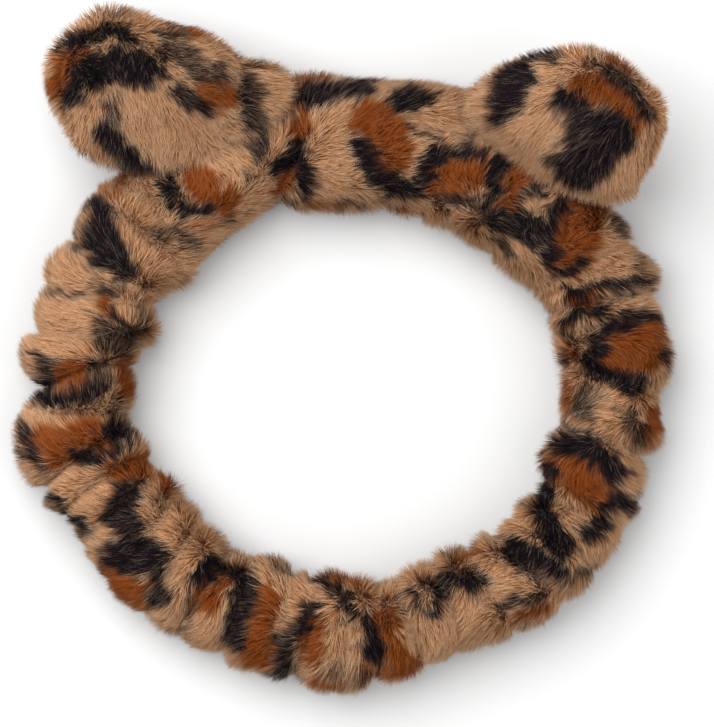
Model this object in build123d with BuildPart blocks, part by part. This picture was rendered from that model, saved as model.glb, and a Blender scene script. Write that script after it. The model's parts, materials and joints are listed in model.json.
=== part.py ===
from build123d import *
import os
from math import cos, radians, sin, tan

# Animal ears headband, laid flat on a table: a closed loop of soft fur tube. The front is a smooth
# padded tube that carries two stuffed ears. The rest is a fur sleeve gathered over a woven elastic.
# The origin is the middle of the head opening, level with the table. +Y is the front, where the ears
# are, +X is the right as seen from above, and +Z is up. All sizes are millimetres, and the outer
# faces stand about halfway up the pile.

# Band centreline: an oval of four arcs that meet on tangents
HALF_WIDTH = 94
HALF_DEPTH = 89
ARC_TURN = 50  # degrees from the front where the front arc meets a side arc

# Bearings, in degrees clockwise from the front, where the padded front meets the gathered sleeve
LEFT_JOIN = -50
RIGHT_JOIN = 58

# Padded front
FRONT_WIDTH = 46
FRONT_HEIGHT = 34
FRONT_WALL = 3
END_WALL_TURN = 1.5  # degrees of tube that each closed end takes up
PADDING_GAP = 1.5

# Gathered sleeve and its elastic
SLEEVE_WIDTH = 38
SLEEVE_HEIGHT = 32
SLEEVE_WALL = 3
ELASTIC_WIDTH = 20
ELASTIC_THICKNESS = 1.5
TACK_THICKNESS = 3

# Seams, in millimetres across the tube and degrees along it
THREAD_DIAMETER = 0.9
THREAD_GAP = 0.1
JOIN_WALL = 3
JOIN_TURN = 1
BODY_GAP_TURN = 0.4  # clear degrees between what stays with the front and what stretches

# Ears
EAR_RADIUS = 34
EAR_HEIGHT = 58
EAR_HALF_THICKNESS = 13
EAR_WALL = 2.5
EAR_WEDGE = 25  # degrees that each face of the ear opens by, from its sewn base
EAR_NECK = 2  # from the hinge line to the ear's sewn edge
EAR_NECK_THICKNESS = 2
EDGE_SEAM = 0.8
FILLING_GAP = 0.3
EAR_SEAT = 52  # degrees up round the front tube's outer shoulder where an ear is sewn on
EAR_STANDOFF = 1.4  # from the front tube's surface to the hinge line
EARS = {"left": (-31, 6), "right": (39, 36)}  # bearing, and tilt above level

# Stitches that hold an ear's base
STITCH_COUNT = 9
STITCH_DIAMETER = 1.2
STITCH_LENGTH = 4
STITCH_PITCH = 3.2  # degrees
STITCH_STANDOFF = 0.75

arc_shift = (HALF_WIDTH - HALF_DEPTH) / (cos(radians(ARC_TURN)) + sin(radians(ARC_TURN)) - 1)
side_offset = arc_shift * sin(radians(ARC_TURN))
end_offset = arc_shift * cos(radians(ARC_TURN))
side_radius = HALF_WIDTH - side_offset
end_radius = HALF_DEPTH + end_offset


def outward(bearing):
    """The level direction away from the loop at a bearing."""
    return Vector(sin(radians(bearing)), cos(radians(bearing)), 0)


def along(bearing):
    """The level direction clockwise round the loop at a bearing."""
    return Vector(cos(radians(bearing)), -sin(radians(bearing)), 0)


def arcs_between(start, end):
    """The centreline from one bearing to another: (centre, radius, first bearing, last bearing)."""
    oval = (
        (Vector(0, -end_offset, 0), end_radius, -ARC_TURN, ARC_TURN),
        (Vector(side_offset, 0, 0), side_radius, ARC_TURN, 180 - ARC_TURN),
        (Vector(0, end_offset, 0), end_radius, 180 - ARC_TURN, 180 + ARC_TURN),
        (Vector(-side_offset, 0, 0), side_radius, 180 + ARC_TURN, 360 - ARC_TURN),
        (Vector(0, -end_offset, 0), end_radius, 360 - ARC_TURN, 360 + ARC_TURN),
    )
    return [
        (centre, radius, max(start, first), min(end, last))
        for centre, radius, first, last in oval
        if first < end and start < last
    ]


def section_plane(centre, radius, bearing, height):
    """The plane across the tube at a bearing: X is outward and Y is up."""
    origin = centre + outward(bearing) * radius + Vector(0, 0, height)
    return Plane(origin=origin, x_dir=outward(bearing), z_dir=along(bearing))


def tube(start, end, middle, section, mode=Mode.ADD):
    """Carries a section, whose middle is at a height, along the centreline from one bearing to another.

    The section is a function that draws itself in the sketch that is open.
    """
    for centre, radius, first, last in arcs_between(start, end):
        with BuildSketch(section_plane(centre, radius, first, middle)) as profile:
            section()
        spin = Axis(tuple(centre), (0, 0, -1))
        revolve(profile.sketch, axis=spin, revolution_arc=last - first, mode=mode)


def slot(width, height, wall=0):
    """A section that is flat above and below and round at its sides, solid or with a wall."""

    def draw():
        SlotOverall(width, height)
        if wall:
            SlotOverall(width - 2 * wall, height - 2 * wall, mode=Mode.SUBTRACT)

    return draw


def thread(offset):
    """The section of a run of thread beside the centreline."""

    def draw():
        with Locations((offset, 0)):
            Circle(THREAD_DIAMETER / 2)

    return draw


def strip(thickness, width):
    """The section of a strip that stands on edge."""
    return lambda: Rectangle(thickness, width)


def shoulder(bearing, standoff):
    """The point above the front tube's outer shoulder, where an ear is sewn on."""
    centre, radius = arcs_between(bearing, bearing + 1)[0][:2]
    round_end = FRONT_HEIGHT / 2
    reach = round_end + standoff
    across = radius + FRONT_WIDTH / 2 - round_end + reach * cos(radians(EAR_SEAT))
    return centre + outward(bearing) * across + Vector(0, 0, round_end + reach * sin(radians(EAR_SEAT)))


def ear_plane(bearing, tilt):
    """The ear's own plane: X runs along its base, Y up to its tip and Z out of its front face."""
    face = Vector(0, 0, cos(radians(tilt))) - outward(bearing) * sin(radians(tilt))
    return Plane(origin=shoulder(bearing, EAR_STANDOFF), x_dir=along(bearing), z_dir=face)


def ear_block(plane, inset):
    """The stuffed ear pulled in by inset: two domes that meet at the rim, thinned to a wedge at the base."""
    rim = EAR_RADIUS - inset
    dome = EAR_HALF_THICKNESS - inset
    ball = (rim**2 + dome**2) / (2 * dome)
    middle = EAR_HEIGHT - EAR_RADIUS
    neck = EAR_NECK_THICKNESS / 2
    slope = tan(radians(EAR_WEDGE))
    edge = EAR_NECK + max(0, inset / sin(radians(EAR_WEDGE)) - neck / slope + inset)
    near, far = (neck + (y - EAR_NECK) * slope - inset / cos(radians(EAR_WEDGE)) for y in (edge, EAR_HEIGHT))
    side = Plane(origin=plane.origin, x_dir=plane.y_dir, z_dir=plane.x_dir)
    with BuildPart(plane) as block:
        with Locations((0, middle, dome - ball)):
            Sphere(ball)
        with Locations((0, middle, ball - dome)):
            Sphere(ball, mode=Mode.INTERSECT)
        with BuildSketch(side):
            with BuildLine():
                Polyline((edge, near), (EAR_HEIGHT, far), (EAR_HEIGHT, -far), (edge, -near), close=True)
            make_face()
        extrude(amount=EAR_RADIUS, both=True, mode=Mode.INTERSECT)
    return block.part


def write(piece, name):
    piece.part.label = name
    export_step(piece.part, f"parts/{name}.step")


os.makedirs("parts", exist_ok=True)
left_join = LEFT_JOIN + 360
front_middle = FRONT_HEIGHT / 2
sleeve_middle = SLEEVE_HEIGHT / 2
padding_inset = 2 * (FRONT_WALL + PADDING_GAP)
front_thread = -(FRONT_WIDTH / 2 - FRONT_WALL - THREAD_GAP - THREAD_DIAMETER / 2)
sleeve_thread = -(SLEEVE_WIDTH / 2 - SLEEVE_WALL - THREAD_GAP - THREAD_DIAMETER / 2)
sleeve_start = RIGHT_JOIN + JOIN_TURN + BODY_GAP_TURN
sleeve_end = left_join - JOIN_TURN - BODY_GAP_TURN

# Padded front: a fur tube with closed ends over a wadding core, sewn shut along its head side
with BuildPart() as front_cover:
    tube(LEFT_JOIN, RIGHT_JOIN, front_middle, slot(FRONT_WIDTH, FRONT_HEIGHT))
    inside = slot(FRONT_WIDTH - 2 * FRONT_WALL, FRONT_HEIGHT - 2 * FRONT_WALL)
    tube(LEFT_JOIN + END_WALL_TURN, RIGHT_JOIN - END_WALL_TURN, front_middle, inside, Mode.SUBTRACT)
write(front_cover, "front_cover")

with BuildPart() as front_padding:
    core = slot(FRONT_WIDTH - padding_inset, FRONT_HEIGHT - padding_inset)
    tube(LEFT_JOIN + 2 * END_WALL_TURN, RIGHT_JOIN - 2 * END_WALL_TURN, front_middle, core)
write(front_padding, "front_padding")

with BuildPart() as front_closing_seam:
    tube(LEFT_JOIN + 2 * END_WALL_TURN, RIGHT_JOIN - 2 * END_WALL_TURN, front_middle, thread(front_thread))
write(front_closing_seam, "front_closing_seam")

# Joins: the sleeve's gathered mouth is sewn to each end of the front, and the elastic is tacked inside
for name, start, end in (
    ("left_join_seam", left_join - JOIN_TURN, left_join),
    ("right_join_seam", RIGHT_JOIN, RIGHT_JOIN + JOIN_TURN),
):
    with BuildPart() as join_seam:
        tube(start, end, sleeve_middle, slot(SLEEVE_WIDTH, SLEEVE_HEIGHT, JOIN_WALL))
    write(join_seam, name)

for name, start, end in (
    ("left_elastic_tack", left_join - JOIN_TURN, left_join),
    ("right_elastic_tack", RIGHT_JOIN, RIGHT_JOIN + JOIN_TURN),
):
    with BuildPart() as elastic_tack:
        tube(start, end, sleeve_middle, strip(TACK_THICKNESS, ELASTIC_WIDTH))
    write(elastic_tack, name)

# Elasticated back: a fur sleeve, much longer than its elastic when it is pulled flat, closed by one seam
with BuildPart() as gathered_sleeve:
    tube(sleeve_start, sleeve_end, sleeve_middle, slot(SLEEVE_WIDTH, SLEEVE_HEIGHT, SLEEVE_WALL))
write(gathered_sleeve, "gathered_sleeve")

with BuildPart() as sleeve_closing_seam:
    tube(sleeve_start, sleeve_end, sleeve_middle, thread(sleeve_thread))
write(sleeve_closing_seam, "sleeve_closing_seam")

with BuildPart() as elastic_strip:
    tube(sleeve_start, sleeve_end, sleeve_middle, strip(ELASTIC_THICKNESS, ELASTIC_WIDTH))
write(elastic_strip, "elastic_strip")

# Ears: two fur panels round a ball of filling, closed by a seam round the edge and sewn on along the base
for side, (bearing, tilt) in EARS.items():
    plane = ear_plane(bearing, tilt)
    outer = ear_block(plane, 0)
    hollow = ear_block(plane, EAR_WALL)
    seam_top = plane.offset(EDGE_SEAM / 2)
    seam_bottom = plane.offset(-EDGE_SEAM / 2)

    with BuildPart() as front_panel:
        add(outer)
        add(hollow, mode=Mode.SUBTRACT)
        split(bisect_by=seam_top, keep=Keep.TOP)
    write(front_panel, f"{side}_ear_front_panel")

    with BuildPart() as back_panel:
        add(outer)
        add(hollow, mode=Mode.SUBTRACT)
        split(bisect_by=seam_bottom, keep=Keep.BOTTOM)
    write(back_panel, f"{side}_ear_back_panel")

    with BuildPart() as edge_seam:
        add(outer)
        add(hollow, mode=Mode.SUBTRACT)
        split(bisect_by=seam_top, keep=Keep.BOTTOM)
        split(bisect_by=seam_bottom, keep=Keep.TOP)
    write(edge_seam, f"{side}_ear_edge_seam")

    with BuildPart() as filling:
        add(ear_block(plane, EAR_WALL + FILLING_GAP))
    write(filling, f"{side}_ear_filling")

    with BuildPart() as base_stitches:
        for number in range(STITCH_COUNT):
            at = bearing + (number - (STITCH_COUNT - 1) / 2) * STITCH_PITCH
            across = Plane(
                origin=shoulder(at, STITCH_STANDOFF) - along(at) * STITCH_LENGTH / 2,
                x_dir=outward(at),
                z_dir=along(at),
            )
            with BuildSketch(across):
                Circle(STITCH_DIAMETER / 2)
            extrude(amount=STITCH_LENGTH)
    write(base_stitches, f"{side}_ear_base_stitches")
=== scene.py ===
import json

import bmesh
import bpy
import numpy as np
from mathutils import Vector
from mathutils.kdtree import KDTree
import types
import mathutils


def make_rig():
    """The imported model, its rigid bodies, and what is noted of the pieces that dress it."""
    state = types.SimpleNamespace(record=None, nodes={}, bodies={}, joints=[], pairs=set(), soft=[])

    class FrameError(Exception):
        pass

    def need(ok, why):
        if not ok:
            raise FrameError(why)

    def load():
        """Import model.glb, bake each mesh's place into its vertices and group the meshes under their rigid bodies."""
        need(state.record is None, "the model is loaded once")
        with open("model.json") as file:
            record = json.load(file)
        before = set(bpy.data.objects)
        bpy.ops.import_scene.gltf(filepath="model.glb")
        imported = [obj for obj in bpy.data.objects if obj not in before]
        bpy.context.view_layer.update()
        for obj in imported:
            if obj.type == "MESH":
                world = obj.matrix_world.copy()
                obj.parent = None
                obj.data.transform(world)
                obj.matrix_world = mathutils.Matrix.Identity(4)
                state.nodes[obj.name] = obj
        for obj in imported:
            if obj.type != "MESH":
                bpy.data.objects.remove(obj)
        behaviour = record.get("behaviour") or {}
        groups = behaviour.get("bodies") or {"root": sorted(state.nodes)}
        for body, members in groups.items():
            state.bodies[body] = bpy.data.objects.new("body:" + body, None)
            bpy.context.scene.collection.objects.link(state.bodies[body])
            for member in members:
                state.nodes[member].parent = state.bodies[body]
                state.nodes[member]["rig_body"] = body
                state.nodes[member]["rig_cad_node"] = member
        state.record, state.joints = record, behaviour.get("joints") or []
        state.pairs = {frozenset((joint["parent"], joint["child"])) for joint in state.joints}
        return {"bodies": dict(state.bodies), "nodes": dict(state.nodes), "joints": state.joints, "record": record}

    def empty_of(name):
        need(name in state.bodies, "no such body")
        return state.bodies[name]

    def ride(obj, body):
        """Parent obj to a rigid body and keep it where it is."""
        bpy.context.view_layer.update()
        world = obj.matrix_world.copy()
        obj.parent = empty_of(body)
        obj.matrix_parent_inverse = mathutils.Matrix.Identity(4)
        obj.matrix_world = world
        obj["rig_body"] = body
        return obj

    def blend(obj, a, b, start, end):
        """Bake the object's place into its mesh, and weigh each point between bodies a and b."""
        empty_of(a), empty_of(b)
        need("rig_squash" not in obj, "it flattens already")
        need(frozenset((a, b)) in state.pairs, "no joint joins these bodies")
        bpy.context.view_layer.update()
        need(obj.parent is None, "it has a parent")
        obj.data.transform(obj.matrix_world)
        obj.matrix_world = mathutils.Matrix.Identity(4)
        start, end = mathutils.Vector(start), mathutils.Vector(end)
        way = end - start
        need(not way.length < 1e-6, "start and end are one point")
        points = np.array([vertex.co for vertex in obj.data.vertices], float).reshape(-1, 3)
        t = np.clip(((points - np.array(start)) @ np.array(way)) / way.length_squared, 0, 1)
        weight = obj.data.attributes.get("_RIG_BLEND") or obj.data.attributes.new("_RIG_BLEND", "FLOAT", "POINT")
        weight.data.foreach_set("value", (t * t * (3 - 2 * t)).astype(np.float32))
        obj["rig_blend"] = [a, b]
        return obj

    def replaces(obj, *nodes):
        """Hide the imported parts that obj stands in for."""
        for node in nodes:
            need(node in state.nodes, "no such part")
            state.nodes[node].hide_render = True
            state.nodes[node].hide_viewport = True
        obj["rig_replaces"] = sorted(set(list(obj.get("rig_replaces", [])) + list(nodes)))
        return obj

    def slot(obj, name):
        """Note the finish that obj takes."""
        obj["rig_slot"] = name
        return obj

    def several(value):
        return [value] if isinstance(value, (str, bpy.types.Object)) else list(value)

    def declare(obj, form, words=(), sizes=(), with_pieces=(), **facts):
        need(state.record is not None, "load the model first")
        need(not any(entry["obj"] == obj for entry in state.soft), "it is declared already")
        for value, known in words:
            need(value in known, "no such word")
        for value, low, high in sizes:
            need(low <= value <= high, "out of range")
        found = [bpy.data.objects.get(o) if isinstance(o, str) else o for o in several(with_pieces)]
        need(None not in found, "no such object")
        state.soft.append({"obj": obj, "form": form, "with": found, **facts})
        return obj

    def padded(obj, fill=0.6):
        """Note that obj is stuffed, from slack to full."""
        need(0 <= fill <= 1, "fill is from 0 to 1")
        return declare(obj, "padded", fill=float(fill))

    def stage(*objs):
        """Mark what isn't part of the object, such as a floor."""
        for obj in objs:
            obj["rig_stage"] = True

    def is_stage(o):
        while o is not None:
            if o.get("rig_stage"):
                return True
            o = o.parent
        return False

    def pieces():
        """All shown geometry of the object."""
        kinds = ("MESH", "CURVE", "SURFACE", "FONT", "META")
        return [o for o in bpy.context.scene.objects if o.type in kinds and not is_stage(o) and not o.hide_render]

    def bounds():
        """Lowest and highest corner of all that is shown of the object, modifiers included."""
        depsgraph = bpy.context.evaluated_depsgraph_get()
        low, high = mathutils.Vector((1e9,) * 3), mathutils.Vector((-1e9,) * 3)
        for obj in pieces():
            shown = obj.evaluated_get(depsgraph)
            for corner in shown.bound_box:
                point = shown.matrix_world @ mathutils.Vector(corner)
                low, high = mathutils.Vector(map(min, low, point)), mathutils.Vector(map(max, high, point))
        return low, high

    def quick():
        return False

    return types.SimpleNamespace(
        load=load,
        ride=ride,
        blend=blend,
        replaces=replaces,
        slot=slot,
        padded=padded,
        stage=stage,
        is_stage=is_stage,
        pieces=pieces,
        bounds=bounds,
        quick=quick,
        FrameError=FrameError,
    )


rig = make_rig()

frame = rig.load()
cad_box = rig.bounds()

# Every size here is in millimetres, in the CAD frame, and MM turns it into Blender's metres.
MM = 0.001

# Band centreline, as in the CAD: four arcs that meet on tangents
HALF_WIDTH, HALF_DEPTH, ARC_TURN = 94, 89, 50
LEFT_JOIN, RIGHT_JOIN = -50, 58

# The knitted backing that the pile stands on
FRONT_HALF_HEIGHT, SLEEVE_HALF_HEIGHT = 13.5, 12.5
FLOOR_GAP = 1.2
MIDDLE_LIFT = 3.0  # the band's middle stands this much more than its half height above the floor
RINGS, AROUND = 360, 48
SWELL = 1.6  # how far the blown-up cloth pushes out past the shape it starts from

# Pile, and how far it stands out past the backing at an edge
PILE = 7.5
PILE_REACH = 4.8
STRAND_WIDTH = 0.2
STRAND_LIMIT = 62000  # most strands in one piece, so that the library takes its faces
QUICK_SHARE = 0.35  # of the strands, in a draft

# Camera: straight above, far enough back that the raised ears hardly spread
VIEW_PLANE = 20
VIEW_HEIGHT = 261.7
VIEW_MIDDLE = (3.24, 8.46)
FOCAL, SENSOR = 200, 36
VIEW_DISTANCE = VIEW_HEIGHT * FOCAL / SENSOR
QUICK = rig.quick()

turn = np.radians(ARC_TURN)
arc_shift = (HALF_WIDTH - HALF_DEPTH) / (np.cos(turn) + np.sin(turn) - 1)
side_offset, end_offset = arc_shift * np.sin(turn), arc_shift * np.cos(turn)
side_radius, end_radius = HALF_WIDTH - side_offset, HALF_DEPTH + end_offset
joints = {joint["name"]: joint for joint in frame["joints"]}


# ---------------------------------------------------------------- band coordinates


def band_point(bearing, offset):
    """Plan position of points at bearings in degrees and offsets outward from the centreline."""
    bearing, offset = np.broadcast_arrays(np.asarray(bearing, float), np.asarray(offset, float))
    bearing = (bearing + 180) % 360 - 180
    size, sign = np.abs(bearing), np.sign(bearing)
    at_side = (size > ARC_TURN) & (size < 180 - ARC_TURN)
    centre_x = np.where(at_side, sign * side_offset, 0)
    centre_y = np.where(at_side, 0, np.where(size < 90, -end_offset, end_offset))
    radius = np.where(at_side, side_radius, end_radius) + offset
    angle = np.radians(bearing)
    return np.stack([centre_x + radius * np.sin(angle), centre_y + radius * np.cos(angle)], -1)


def band_bearing(x, y):
    """The bearing in degrees of plan positions."""
    front = np.degrees(np.arctan2(x, y + end_offset))
    back = np.degrees(np.arctan2(x, y - end_offset))
    side = np.degrees(np.arctan2(x - np.where(x < 0, -side_offset, side_offset), y))
    at_front = (np.abs(front) <= ARC_TURN) & (y > 0)
    at_back = (np.abs(back) >= 180 - ARC_TURN) & (y < 0)
    return np.where(at_front, front, np.where(at_back, back, side))


def smooth(value, low, high):
    """0 below low, 1 above high, and an even ease between."""
    t = np.clip((value - low) / (high - low), 0, 1)
    return t * t * (3 - 2 * t)


def waves(points, size, seed, count=7):
    """Smooth noise, about -1 to 1, whose lumps are about size across."""
    rng = np.random.default_rng(seed)
    points = np.asarray(points, float)
    ways = rng.normal(size=(count, points.shape[-1]))
    ways *= (2 * np.pi / size / np.linalg.norm(ways, axis=1) * rng.uniform(0.55, 1.5, count))[:, None]
    total = np.zeros(points.shape[:-1])
    for way, phase in zip(ways, rng.uniform(0, 2 * np.pi, count)):
        total += np.sin(points @ way + phase)
    return total / np.sqrt(count)


def wander(points, size, *seeds):
    """A smooth random shift for each point, with one axis for each seed."""
    return np.stack([waves(points, size, seed) for seed in seeds], -1)


def unit(vectors):
    return vectors / np.maximum(np.linalg.norm(vectors, axis=-1, keepdims=True), 1e-9)


def finder(points):
    """A tree whose find gives the nearest of points, its number and its distance."""
    tree = KDTree(len(points))
    for number, point in enumerate(points):
        tree.insert(point, number)
    tree.balance()
    return tree


# ---------------------------------------------------------------- leopard print
# Each mark is (dye, strength, width, points), placed one by one. Dark lies over rust, and rust over tan.
# On the band a point is (bearing, offset).
# On an ear it is (along its base, out from its hinge), as seen from above.

PRINT_SOFT = 2.8  # half the width of a mark's soft edge
PRINT_WIDEN = 1.15
BAND_STEP = 4  # a mark along the band bends at least this often, in degrees

BAND_MARKS = (
    # padded front, from its left join to its right join
    ("rust", 0.6, 6, ((-49, 22), (-45, 20))),
    ("dark", 0.7, 7, ((-46, -5), (-43, -9), (-42, -16))),
    ("dark", 1.0, 5, ((-37.5, 8), (-40, 1), (-38, -5), (-34.5, -9))),
    ("rust", 1.0, 10, ((-33, 3), (-32, -6), (-30, -10))),
    ("rust", 0.5, 8, ((-38, -14), (-33, -15))),
    ("dark", 0.7, 4, ((-33, -16), (-30, -17))),
    ("dark", 0.8, 9, ((-19.5, 10), (-19, 3))),
    ("dark", 0.6, 4, ((-23.5, -3), (-22.5, -6))),
    ("rust", 0.9, 7, ((-15, -13), (-12, -8))),
    ("dark", 1.0, 6, ((-16, -6), (-12, -4))),
    ("dark", 1.0, 7, ((-10.5, 1), (-10, -8), (-9, -19))),
    ("dark", 0.7, 4, ((-15, -20), (-11, -21))),
    ("rust", 1.0, 5, ((-9, 26), (-3, 27))),
    ("rust", 0.9, 5, ((-8.5, 19), (-9.5, 4))),
    ("dark", 1.0, 8, ((-7, 19), (-1, 19), (4, 22))),
    ("dark", 1.0, 5, ((-10, 24), (-9.5, 18))),
    ("rust", 0.8, 3, ((-11, -24), (-2, -25))),
    ("dark", 0.9, 3, ((0, -24), (6, -26))),
    ("rust", 1.0, 14, ((5, 9), (9, 6), (10.5, -4))),
    ("dark", 1.0, 9, ((10.5, 17), (14.5, 20))),
    ("dark", 1.0, 8, ((4, -2), (7, -11), (13, -16), (19, -16))),
    ("dark", 0.7, 4, ((12, -25), (14, -25))),
    ("rust", 0.8, 4, ((16, -24), (19, -25))),
    ("dark", 1.0, 2.5, ((13, 7), (20, 6), (27, 10))),
    ("dark", 1.0, 5, ((27, 8), (22, 4.5), (18.5, -3), (18.5, -11))),
    ("rust", 1.0, 13, ((23, -6), (26, -1), (28.5, 3))),
    ("dark", 0.85, 5, ((24.5, -13), (30, -9.5), (35, -9))),
    ("dark", 0.7, 4, ((32, -20), (34, -21))),
    ("rust", 0.9, 9, ((35, 11), (37, 5), (38.5, -2))),
    ("dark", 1.0, 6, ((31, 12), (33, 2), (35, -7))),
    ("dark", 1.0, 3.5, ((39.5, 13), (41.5, 4), (42, -4))),
    ("dark", 1.0, 7, ((30, 15), (37, 17))),
    ("dark", 0.95, 10, ((38, -10), (43, -8), (48, -4))),
    ("dark", 0.8, 5, ((43, -16), (47, -17))),
    ("rust", 1.0, 15, ((49, 17), (53, 9), (57, 3))),
    ("dark", 1.0, 5, ((44.5, 12), (48.5, 3), (54, -5), (57, -7))),
    ("dark", 0.8, 6, ((55, 24), (59, 23))),
    # right side of the sleeve, going back from the right join
    ("dark", 1.0, 4, ((60, -5), (60.5, 5))),
    ("dark", 0.6, 6, ((65, 24), (67, 22))),
    ("dark", 1.0, 5, ((66, -9), (67, 4), (68.5, 12), (69.5, 24))),
    ("rust", 1.0, 5, ((68.5, -7), (68, 4))),
    ("dark", 1.0, 6, ((72.5, -12), (71.5, -4), (72, 3))),
    ("rust", 1.0, 6, ((77, -15), (80, -14))),
    ("dark", 0.9, 5, ((80, -19), (83, -18))),
    ("dark", 1.0, 5, ((78, -4), (76, 7), (75, 18), (77, 23))),
    ("rust", 1.0, 12, ((79, 8), (80, 17))),
    ("rust", 1.0, 12, ((84, 4), (84, 16))),
    ("dark", 0.9, 5, ((84, 23), (86, 23))),
    ("dark", 1.0, 7, ((81, -2), (84, -7), (87.5, -2), (89.5, 6), (90, 10))),
    ("rust", 1.0, 5, ((89, -18), (97, -17))),
    ("dark", 0.75, 8, ((93, -9), (97, -11))),
    ("dark", 0.7, 8, ((98, 8), (102, 13))),
    ("rust", 1.0, 7, ((97, 19), (101, 16))),
    ("dark", 0.9, 4, ((103, 12), (103, 16))),
    ("dark", 1.0, 9, ((108, -18), (106.5, -8), (108, 2), (111, 10))),
    ("rust", 1.0, 14, ((112, -12), (113.5, -3), (116, 5))),
    ("rust", 1.0, 7, ((116, -6), (118, 1), (119, 8))),
    ("dark", 1.0, 6, ((118, 10), (116, 15), (114, 21))),
    ("dark", 1.0, 8, ((119, -15), (124, -12))),
    ("dark", 1.0, 7, ((121, 14), (125, 11))),
    ("dark", 1.0, 9, ((126, -14), (128, -7), (130, 1), (131, 7))),
    ("dark", 0.9, 3, ((137, 14), (133, 17), (130, 21))),
    ("dark", 1.0, 9, ((139, -7), (137, 0), (135.5, 9))),
    ("dark", 0.5, 6, ((141, -14), (138, -13))),
    ("dark", 0.8, 5, ((147, 6), (143, 9), (140.5, 12))),
    ("rust", 0.9, 4, ((147, 14), (142, 16))),
    ("dark", 0.7, 3, ((147, 19), (148, 20))),
    ("rust", 0.8, 5, ((151, -18), (147, -18))),
    ("dark", 0.9, 4, ((151, -24), (153, -24))),
    ("dark", 1.0, 8, ((155.5, -12), (152, -8), (151, -5))),
    ("dark", 0.9, 5, ((165, -12), (164.5, -4), (161, 0), (158, -4), (158, -12), (161, -16))),
    ("rust", 1.0, 10, ((171, -3), (172, 8), (169, 17))),
    ("rust", 0.8, 6, ((177, 17), (168, 14))),
    ("dark", 1.0, 7, ((176, -4), (175, 2), (175, 9))),
    ("dark", 0.6, 7, ((179, 18), (176, 20))),
    # left side of the sleeve, going back from the left join
    ("dark", 1.0, 11, ((-52, 18), (-54, 12), (-58, 8), (-59, -1))),
    ("dark", 1.0, 11, ((-57, 15), (-59, 8))),
    ("dark", 0.6, 5, ((-65, 9), (-67, 8))),
    ("dark", 0.9, 4, ((-66, 5), (-65, -1))),
    ("rust", 1.0, 5, ((-67.5, 2), (-71, -2))),
    ("dark", 0.9, 2, ((-70, 23), (-70, 9))),
    ("dark", 1.0, 5, ((-70, -4), (-72, -12), (-72, -20))),
    ("dark", 0.6, 5, ((-66, -13), (-67, -17))),
    ("dark", 0.75, 9, ((-75, 0), (-77, -7), (-78, -14))),
    ("rust", 1.0, 7, ((-82, -14), (-90, -17))),
    ("dark", 0.9, 6, ((-84, 20), (-88, 14))),
    ("rust", 0.9, 8, ((-86, 9), (-86, 4))),
    ("dark", 0.75, 8, ((-86, -3), (-87, -7))),
    ("dark", 1.0, 8, ((-90, 18), (-92, 12), (-91, 3), (-89, -6))),
    ("dark", 0.5, 7, ((-93, -12), (-96, -13))),
    ("dark", 0.9, 6, ((-96.5, 26), (-101, 25), (-106, 23))),
    ("rust", 1.0, 12, ((-100, 17), (-101, 8), (-101, -2))),
    ("rust", 1.0, 10, ((-104, 14), (-103.5, 2))),
    ("dark", 1.0, 9, ((-99.5, -9), (-102, -11))),
    ("dark", 1.0, 5, ((-103, -11), (-106, -5), (-106.5, 3), (-105, 10))),
    ("dark", 1.0, 6, ((-112, 24), (-113, 22))),
    ("rust", 0.9, 9, ((-111, -5), (-113, -14))),
    ("dark", 1.0, 6, ((-116, 0), (-117, -7))),
    ("dark", 1.0, 7, ((-117, 21), (-120, 19))),
    ("rust", 0.9, 6, ((-119, -20), (-124, -20))),
    ("dark", 0.95, 10, ((-118, -3), (-122, 4), (-126, 3))),
    ("dark", 0.6, 4, ((-124, -15), (-123, -11))),
    ("dark", 1.0, 12, ((-129, 12), (-132, 6), (-134, 3))),
    ("dark", 0.9, 8, ((-134, 3), (-138, 9), (-141, 13))),
    ("rust", 0.9, 9, ((-130, 18), (-137, 18))),
    ("dark", 0.7, 3, ((-133, 26), (-134, 25))),
    ("dark", 1.0, 7, ((-145, -2), (-147, -11), (-151, -14), (-155, -8), (-156, 4), (-157, 13))),
    ("dark", 0.8, 3, ((-145.5, 4), (-148, 15))),
    ("rust", 1.0, 9, ((-149, -6), (-149, 5))),
    ("dark", 0.7, 4, ((-159, -22), (-163, -21))),
    ("rust", 1.0, 10, ((-159.5, -8), (-161, 4), (-161.5, 14))),
    ("dark", 0.9, 8, ((-170, -7), (-168, 1), (-166, 8), (-168, 20))),
    ("rust", 1.0, 7, ((-171.5, -3), (-172, 9))),
    ("dark", 1.0, 6, ((-171, -20), (-175, -16))),
    ("rust", 1.0, 4, ((-174, -22), (177, -22))),
    ("dark", 1.0, 5, ((-176, -18), (-179, -15), (180, -5))),
    ("rust", 0.9, 4, ((-173, 21), (-179, 21))),
    ("dark", 0.6, 5, ((-175, 16), (-178, 16))),
)

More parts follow.
